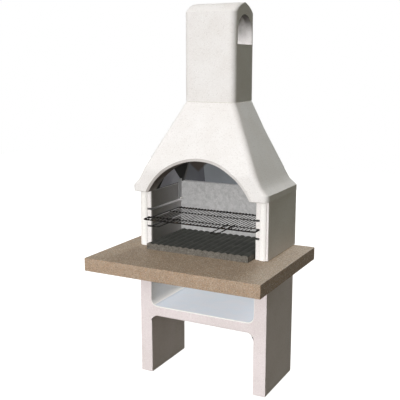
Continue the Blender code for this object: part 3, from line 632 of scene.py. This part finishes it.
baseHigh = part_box("base_casting")[1]
compartment = {
    "legWidth": 0.074, "floor": 0.404, "arris": 0.006,
    "level": 0.3, "corner": 0.6, "edge": 0.98,  # how far a face's normal turns sideways or forwards
}


def shelfSort(f, inside):
    # the compartment's shelf and sides painted with bluish light, and its corners and the edge of
    # its mouth painted near-white as a highlight
    middle = f.calc_center_median()
    within = abs(middle.x) < baseHigh.x - compartment["legWidth"] + compartment["arris"]
    if not within or middle.z < compartment["floor"] - compartment["arris"]:
        return pinkishConcrete
    if abs(f.normal.y) < compartment["level"]:
        return bluishLitShelf if abs(f.normal.x) < compartment["corner"] else highlightConcrete
    return highlightConcrete if abs(f.normal.y) < compartment["edge"] else pinkishConcrete


def stoneSort(f, inside):
    # the top is darker, and the short ends are painted darker with shade
    if f.normal.z > stone["facing"]:
        return darkerTopStone
    return shadedEndStone if abs(f.normal.x) > stone["facing"] else brownStone


hoodMaterials = [whiteConcrete, archSootAndShade, chamberSmoke, rimShade]
wallMaterials = [whiteConcrete, fireboxShade, grooveShade, highlightConcrete]
baseMaterials = [pinkishConcrete, bluishLitShelf, highlightConcrete]
stoneMaterials = [brownStone, darkerTopStone, shadedEndStone]
casting("hood", "hood_casting", hoodMaterials, 1, hoodSort, trimRim)
casting("chimney", "chimney_casting", [whiteConcrete, flueShade], 2, flueSort)
casting("left_side_wall", "left_wall_casting", wallMaterials, 3, wallSort)
casting("right_side_wall", "right_wall_casting", wallMaterials, 4, wallSort)
casting("back_wall", "back_wall_casting", [whiteConcrete], 5)
casting("base_casting", "base_legs_and_shelf", baseMaterials, 6, shelfSort)
casting("worktop", "worktop_slab", stoneMaterials, 7, stoneSort)
casting("back_lining_slab", "lining_slab", [paleRefractory], 8)
casting("hearth_plate", "hearth_slab", [darkHearth], 9)
beds = {
    "chimney_mortar": freshMortar,
    "hood_mortar_left": sootyMortar, "hood_mortar_right": sootyMortar,
}
for bed in [n for n in nodes if "mortar" in n]:
    nodes[bed].data.materials.clear()
    nodes[bed].data.materials.append(beds.get(bed, mortar))
print("castings made")


# Sheets in the hood, and the two strips in the corners of the firebox

sheets = {
    "grid": 0.022, "smoothAngle": 35, "flatShare": 0.5,
    "bow": 0.0012, "waveMm": 120, "waveStart": (0, 1.3, 0), "waveShift": (2.7, 0, 1),
    "stripFront": 0.276, "stripBack": 0.300, "stripLow": 0.9665, "stripHigh": 1.086,
    "stripThickness": 0.0014, "stripFold": 0.003, "stripClearance": 0.0004,
    "stripLean": 0.0048,  # the wall's rear corner leans in as much
    "stripRounding": 0.3, "dabRounding": 0.45,  # in thicknesses
    "dabFront": 0.290, "dabBack": 0.3125, "dabLow": 0.9634, "dabHigh": 0.9750,
    "dabProud": 0.012, "dabSunk": 0.001, "dabRelief": 0.0012, "dabReliefMm": 9,
    "roundedAngle": 40,
}


def steelSheet(node, name, material, seed):
    # a sheet that bows a little, with its cut edges painted dark as shade
    bm = copyOfNode(node)
    cutGrid(bm, sheets["grid"])
    shift = Vector(sheets["waveStart"]) + Vector(sheets["waveShift"]) * seed
    bm.normal_update()
    flat = max(bm.faces, key=lambda f: f.calc_area()).normal.copy()
    for f in bm.faces:
        f.material_index = 0 if abs(f.normal.dot(flat)) > sheets["flatShare"] else 1
    for v in bm.verts:
        v.co += flat * (sheets["bow"] * noise.noise(v.co * perMetre(sheets["waveMm"]) + shift))
    finishPiece(name, bm, [material, shadedEdgeSteel], "masonry", [node],
                sheets["smoothAngle"])


for seed, (side, metal) in enumerate((
        ("left", sideSteel), ("right", sideSteel), ("back_left", shadedOuterSteel),
        ("back_middle", middleSteel), ("back_right", shadedOuterSteel))):
    steelSheet("liner_" + side, "steel_sheet_" + side, metal, seed)


def blockBetween(bm, low, high):
    size = high - low
    place = Matrix.Translation((low + high) / 2) @ Matrix.Diagonal((*size, 1))
    bmesh.ops.create_cube(bm, size=1, matrix=place)


def cornerStrip(side, name):
    # an upright strip with a folded back edge, against the wall and the lining slab
    bm = bmesh.new()
    outer = wallLow.x - sheets["stripClearance"]
    low = Vector((outer - sheets["stripThickness"], sheets["stripFront"], sheets["stripLow"]))
    high = Vector((outer, sheets["stripBack"], sheets["stripHigh"]))
    blockBetween(bm, low, high)
    rear = max(bm.faces, key=lambda f: f.calc_center_median().y)
    bmesh.ops.translate(bm, vec=(-sheets["stripLean"], 0, 0), verts=rear.verts[:])
    ridge = bmesh.ops.extrude_face_region(bm, geom=[rear])["geom"]
    bmesh.ops.delete(bm, geom=[rear], context="FACES_ONLY")
    grown = [g for g in ridge if isinstance(g, bmesh.types.BMVert)]
    bmesh.ops.translate(bm, vec=(-sheets["stripFold"], sheets["stripFold"], 0), verts=grown)
    roundEdges(bm, sheets["stripThickness"] * sheets["stripRounding"], 2, sheets["roundedAngle"])
    bmesh.ops.scale(bm, vec=(side, 1, 1), verts=bm.verts)
    bmesh.ops.recalc_face_normals(bm, faces=bm.faces)
    finishPiece(name, bm, [stripSteel], "masonry", [], sheets["smoothAngle"])


def mortarDab(side, name):
    # a dab of mortar that holds the strip's foot
    bm = bmesh.new()
    low = Vector((wallLow.x - sheets["dabProud"], sheets["dabFront"], sheets["dabLow"]))
    high = Vector((wallLow.x + sheets["dabSunk"], sheets["dabBack"], sheets["dabHigh"]))
    blockBetween(bm, low, high)
    roundEdges(bm, sheets["dabProud"] * sheets["dabRounding"], 3, sheets["roundedAngle"])
    cutGrid(bm, sheets["dabProud"])
    unevenness(bm, sheets["dabRelief"], sheets["dabReliefMm"], 5)
    bmesh.ops.scale(bm, vec=(side, 1, 1), verts=bm.verts)
    bmesh.ops.recalc_face_normals(bm, faces=bm.faces)
    finishPiece(name, bm, [dabMortar], "masonry", [], sheets["smoothAngle"])


for side, word in ((-1, "left"), (1, "right")):
    cornerStrip(side, "corner_strip_" + word)
    mortarDab(side, "mortar_dab_" + word)
print("sheets made")


# Cooking grill

grill = {
    "frameSides": 18,
    "wireSides": 12,
    "frameCorner": 0.014,
    "handleCorner": 0.010,
    "bendSteps": 8,
    "wireStep": 0.03,
    "barStep": 0.12,
    "wobble": 0.0004,
    "smoothAngle": 60,
    "endSteps": ((0.25, 0.85), (0.12, 0.6)),  # a rounded end: lengths in radii, and narrowing
    "beadSides": 8,
    "beadRings": 5,
    "beadSpread": 1.9,  # a weld bead's length in wire radii
    "beadVary": (0.85, 1.15),
    "beadLevel": 0.2,
    "beadThickness": 0.85,
    "seed": 11,
}
rng = random.Random(grill["seed"])


def startRing(bm, centre, direction, radius, sides):
    # the edges of a ring that faces along the rod
    turn = Vector(direction).to_track_quat("Z", "Y").to_matrix().to_4x4()
    ring = bmesh.ops.create_circle(bm, cap_ends=False, segments=sides, radius=radius,
                                   matrix=Matrix.Translation(centre) @ turn)["verts"]
    return list({e for v in ring for e in v.link_edges})


def runOn(bm, ring, travel, narrowing=1.0):
    # pulls the open ring along, and narrows it where the rod's end is rounded
    grown = bmesh.ops.extrude_edge_only(bm, edges=ring)["geom"]
    verts = [g for g in grown if isinstance(g, bmesh.types.BMVert)]
    bmesh.ops.translate(bm, vec=travel, verts=verts)
    middle = sum((v.co for v in verts), Vector()) / len(verts)
    if narrowing != 1.0:
        bmesh.ops.scale(bm, vec=(narrowing, narrowing, narrowing),
                        space=Matrix.Translation(-middle), verts=verts)
    return [g for g in grown if isinstance(g, bmesh.types.BMEdge) and g.is_boundary]


def bend(bm, ring, centre, angle):
    # a level bend about an upright axis
    turned = bmesh.ops.spin(bm, geom=ring, cent=centre, axis=(0, 0, 1), angle=angle,
                            steps=grill["bendSteps"], use_merge=False,
                            use_duplicate=False)["geom_last"]
    return [g for g in turned if isinstance(g, bmesh.types.BMEdge)]


def closeEnd(bm, ring, direction, radius):
    for length, narrowing in grill["endSteps"]:
        ring = runOn(bm, ring, Vector(direction) * radius * length, narrowing)
    bmesh.ops.edgeloop_fill(bm, edges=ring)


def straightRod(bm, start, end, radius, sides, step, wobble=0.0):
    start, end = Vector(start), Vector(end)
    along = (end - start).normalized()
    # the rounded ends stay inside the rod's own length
    dome = radius * sum(length for length, narrowing in grill["endSteps"])
    start, end = start + along * dome, end - along * dome
    count = max(1, round((end - start).length / step))
    ring = startRing(bm, start, along, radius, sides)
    first = ring[:]
    for k in range(count):
        sway = Vector((rng.uniform(-wobble, wobble), 0, 0)) if 0 < k < count - 1 else Vector()
        ring = runOn(bm, ring, (end - start) / count + sway * (1 if k % 2 else -1))
    closeEnd(bm, ring, along, radius)
    closeEnd(bm, first, -along, radius)
    bmesh.ops.recalc_face_normals(bm, faces=bm.faces)


def grillPiece(name, bm, material, replaced):
    # all of the grill's pieces go into one body
    finishPiece(name, bm, [material], "grill", replaced, grill["smoothAngle"], False)


frameLow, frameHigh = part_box("grill_frame")
frameRadius = (frameHigh.z - frameLow.z) / 2
frameZ = (frameLow.z + frameHigh.z) / 2
frameX = frameHigh.x - frameRadius
frameBack, frameFront = frameHigh.y - frameRadius, frameLow.y + frameRadius


def roundFrame():
    # one closed rod, from the middle of its back around all four corners
    bm = bmesh.new()
    corner = grill["frameCorner"]
    start = Vector((0, frameBack, frameZ))
    ring = startRing(bm, start, (1, 0, 0), frameRadius, grill["frameSides"])
    sideX, cornerBack, cornerFront = frameX - corner, frameBack - corner, frameFront + corner
    ring = runOn(bm, ring, Vector((sideX, 0, 0)))
    for centre, travel in (
        ((sideX, cornerBack), (0, cornerFront - cornerBack)),
        ((sideX, cornerFront), (-2 * sideX, 0)),
        ((-sideX, cornerFront), (0, cornerBack - cornerFront)),
        ((-sideX, cornerBack), (sideX, 0)),
    ):
        ring = bend(bm, ring, (*centre, frameZ), -math.pi / 2)
        ring = runOn(bm, ring, Vector((*travel, 0)))
    bmesh.ops.remove_doubles(bm, verts=bm.verts, dist=seamGap)
    bmesh.ops.recalc_face_normals(bm, faces=bm.faces)
    grillPiece("round_frame", bm, rodMetal, ["grill_frame"])


roundFrame()
crossings = [frameBack, frameFront]
for place in ("front", "rear"):
    node = "grill_cross_bar_" + place
    low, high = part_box(node)
    barRadius = (high.z - low.z) / 2
    middleY, middleZ = (low.y + high.y) / 2, (low.z + high.z) / 2
    bm = bmesh.new()
    straightRod(bm, (low.x, middleY, middleZ), (high.x, middleY, middleZ), barRadius,
                grill["wireSides"], grill["barStep"])
    grillPiece("cross_bar_" + place, bm, rodMetal, [node])
    crossings.append(middleY)

beads = bmesh.new()


def weldBead(centre, size):
    # a flat lump of weld, turned at random, in the one mesh of all beads
    bead = bmesh.ops.create_uvsphere(beads, u_segments=grill["beadSides"],
                                     v_segments=grill["beadRings"], radius=1.0)["verts"]
    bmesh.ops.scale(beads, vec=size, verts=bead)
    bmesh.ops.rotate(beads, cent=(0, 0, 0), matrix=Matrix.Rotation(rng.uniform(0, math.pi), 3, "Z"),
                     verts=bead)
    bmesh.ops.translate(beads, vec=centre, verts=bead)


wireNodes = sorted(n for n in nodes if n.startswith("grill_wire_"))
for node in wireNodes:
    low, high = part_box(node)
    wireRadius = (high.z - low.z) / 2
    x, z = (low.x + high.x) / 2, (low.z + high.z) / 2
    bm = bmesh.new()
    straightRod(bm, (x, low.y, z), (x, high.y, z), wireRadius, grill["wireSides"],
                grill["wireStep"], grill["wobble"])
    grillPiece(node.replace("grill_wire", "round_wire"), bm, wireMetal, [node])
    for y in crossings:
        spread = wireRadius * grill["beadSpread"] * rng.uniform(*grill["beadVary"])
        weldBead((x, y, low.z + wireRadius * grill["beadLevel"]),
                 (spread, spread, wireRadius * grill["beadThickness"]))
grillPiece("weld_beads", beads, wireMetal, [])

for side in ("left", "right"):
    node = "grill_handle_" + side
    low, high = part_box(node)
    radius = (high.z - low.z) / 2
    z = (low.z + high.z) / 2
    corner = grill["handleCorner"]
    outerX, cornerX, cornerY = low.x + radius, low.x + radius + corner, low.y + radius + corner
    farX = high.x - radius - corner
    reach = high.y - radius - cornerY
    bm = bmesh.new()
    start = Vector((outerX, high.y - radius, z))
    ring = startRing(bm, start, (0, -1, 0), radius, grill["wireSides"])
    first = ring[:]
    ring = runOn(bm, ring, Vector((0, -reach, 0)))
    for centreX, travel in ((cornerX, (farX - cornerX, 0, 0)), (farX, (0, reach, 0))):
        ring = bend(bm, ring, (centreX, cornerY, z), math.pi / 2)
        ring = runOn(bm, ring, Vector(travel))
    closeEnd(bm, ring, (0, 1, 0), radius)
    closeEnd(bm, first, (0, 1, 0), radius)
    bmesh.ops.recalc_face_normals(bm, faces=bm.faces)
    grillPiece("loop_handle_" + side, bm, rodMetal, [node])
print("grill made")


# Floor, light and camera

studio = {
    "floorSize": 16.0,
    "floorColour": "c8c8c8", "floorRoughness": 0.9, "floorGlow": 0.78,
    "keyTurn": -4, "keyRise": 29, "keyStrength": 3.1, "keySoftness": 30,
    "keyOpenShare": 0.85,  # the share of the key light that comes as from all around
    "keyColour": (1.0, 0.99, 0.98),
    "backTurn": 180, "backRise": 22, "backStrength": 1.5, "backSoftness": 12,
    "backColour": (0.95, 1.0, 1.0),
    "skyBase": 0.10, "skyTop": 0.06, "skyPower": 2.5, "skyGloss": 0.55,
    "skyColour": (1.0, 0.96, 0.68, 1),
}

floorBm = bmesh.new()
bmesh.ops.create_grid(floorBm, x_segments=1, y_segments=1, size=studio["floorSize"] / 2)
floorMesh = bpy.data.meshes.new("floor")
floorBm.to_mesh(floorMesh)
floorBm.free()
floor = bpy.data.objects.new("floor", floorMesh)
bpy.context.scene.collection.objects.link(floor)
floorMesh.materials.append(newMaterial("Pale floor", {
    "Base Color": toLinear(studio["floorColour"]), "Roughness": studio["floorRoughness"],
    "Specular IOR Level": 0.0, "Emission Color": (1, 1, 1, 1),
    "Emission Strength": studio["floorGlow"]})[0])
floor.visible_diffuse = False  # shaded sides get no bounce from below
floor.visible_glossy = False


def addSun(name, prefix, share=1.0, shadow=True):
    lamp = bpy.data.lights.new(name, "SUN")
    lamp.energy = studio[prefix + "Strength"] * share
    lamp.angle = math.radians(studio[prefix + "Softness"])
    lamp.color = studio[prefix + "Colour"]
    lamp.use_shadow = shadow
    sun = bpy.data.objects.new(name, lamp)
    rise, turn = studio[prefix + "Rise"], studio[prefix + "Turn"]
    sun.rotation_euler = (math.radians(90 - rise), 0, math.radians(turn))
    bpy.context.scene.collection.objects.link(sun)


# the photo has almost no shadows: the open part of the key casts none
addSun("key", "key", 1 - studio["keyOpenShare"])
addSun("open_key", "key", studio["keyOpenShare"], False)
addSun("back", "back")

world = bpy.data.worlds.new("Studio")
bpy.context.scene.world = world
world.use_nodes = True
sky = world.node_tree
sky.nodes.clear()
direction = addNode(sky, "ShaderNodeTexCoord", {}, "Generated")
upness = addNode(sky, "ShaderNodeSeparateXYZ", {"Vector": direction}, "Z")
upness = addNode(sky, "ShaderNodeMath", {0: upness, 1: 0.0}, operation="MAXIMUM")
upness = addNode(sky, "ShaderNodeMath", {0: upness, 1: studio["skyPower"]}, operation="POWER")
strength = addNode(sky, "ShaderNodeMath", {
    0: upness, 1: studio["skyTop"], 2: studio["skyBase"]}, operation="MULTIPLY_ADD")
dim = addNode(sky, "ShaderNodeBackground", {"Color": studio["skyColour"], "Strength": strength})
white = addNode(sky, "ShaderNodeBackground", {"Color": (1, 1, 1, 1), "Strength": 1.0})
mirrored = addNode(sky, "ShaderNodeBackground", {
    "Color": (1, 1, 1, 1), "Strength": studio["skyGloss"]})
cameraRay = addNode(sky, "ShaderNodeLightPath", {}, "Is Camera Ray")
mixed = addNode(sky, "ShaderNodeMixShader", {
    0: cameraRay.node.outputs["Is Glossy Ray"], 1: dim, 2: mirrored})
mixed = addNode(sky, "ShaderNodeMixShader", {0: cameraRay, 1: mixed, 2: white})
addNode(sky, "ShaderNodeOutputWorld", {"Surface": mixed})
bpy.context.scene.view_settings.view_transform = "Standard"

lens = {
    "focal": 63.43, "sensor": 36,
    "place": (1.69255, -3.26731, 1.74974), "tilt": 11.0056, "turn": 27.6174,
}
cameraData = bpy.data.cameras.new("camera")
cameraData.lens = lens["focal"]
cameraData.sensor_width = lens["sensor"]
camera = bpy.data.objects.new("camera", cameraData)
camera.location = lens["place"]
camera.rotation_euler = (math.radians(90 - lens["tilt"]), 0, math.radians(lens["turn"]))
bpy.context.scene.collection.objects.link(camera)
bpy.context.scene.camera = camera
print("floor, light and camera set")
